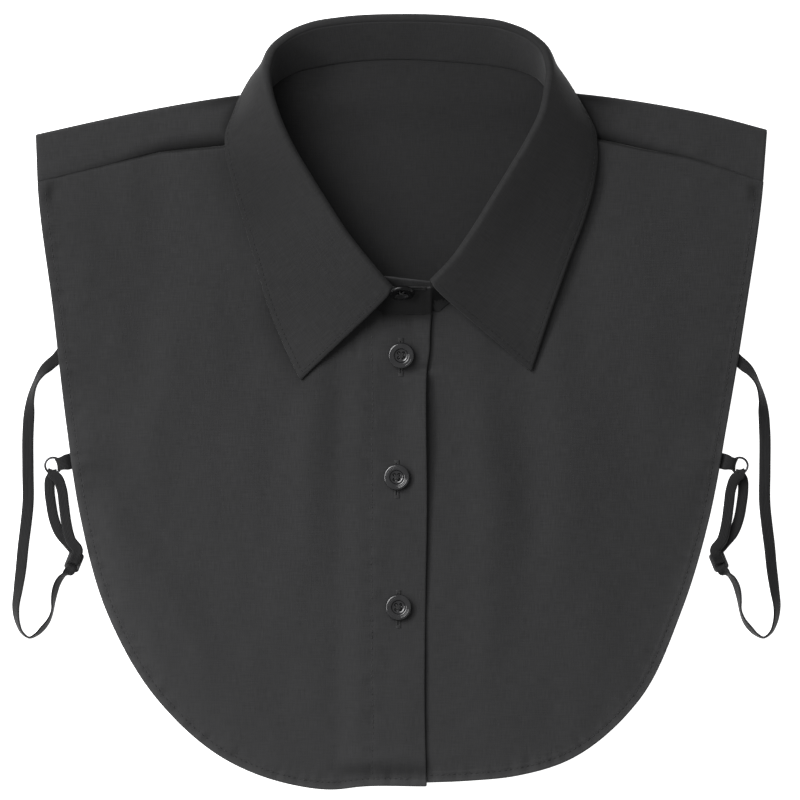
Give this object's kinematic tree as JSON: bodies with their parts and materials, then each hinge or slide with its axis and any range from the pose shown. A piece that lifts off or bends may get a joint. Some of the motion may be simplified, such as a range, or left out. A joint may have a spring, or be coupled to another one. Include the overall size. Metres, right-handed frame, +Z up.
{
  "type": "detachable shirt collar",
  "caption": "Half-shirt with a point collar and stand, laid flat: buttoned fronts, a back with turned-over shoulders, and elastic side straps with rings and sliders.",
  "frame": {"origin": "middle of the outline, on the surface that the back lies on", "axes": "+X to the wearer's left, which is the right of someone who looks down on it, +Y from the hem to the collar, +Z up out of the surface"},
  "size_m": [0.3384, 0.341, 0.0282],
  "materials": {
    "cotton": "matte black plain-weave cotton",
    "collar_cotton": "matte black cotton, fused and pressed",
    "button_gloss": "polished black",
    "elastic": "black woven elastic",
    "ring_metal": "black coated",
    "slider_plastic": "satin black"
  },
  "bodies": {
    "root": {"back": "cotton", "front_left": "cotton", "front_right": "cotton", "collar_stand": "collar_cotton", "collar_fall": "collar_cotton", "button_1": "button_gloss", "button_2": "button_gloss", "button_3": "button_gloss", "button_stand": "button_gloss", "strap_left": "elastic", "strap_right": "elastic", "tab_left": "elastic", "tab_right": "elastic", "ring_left": "ring_metal", "ring_right": "ring_metal", "slider_left": "slider_plastic", "slider_right": "slider_plastic"}
  },
  "joints": []
}
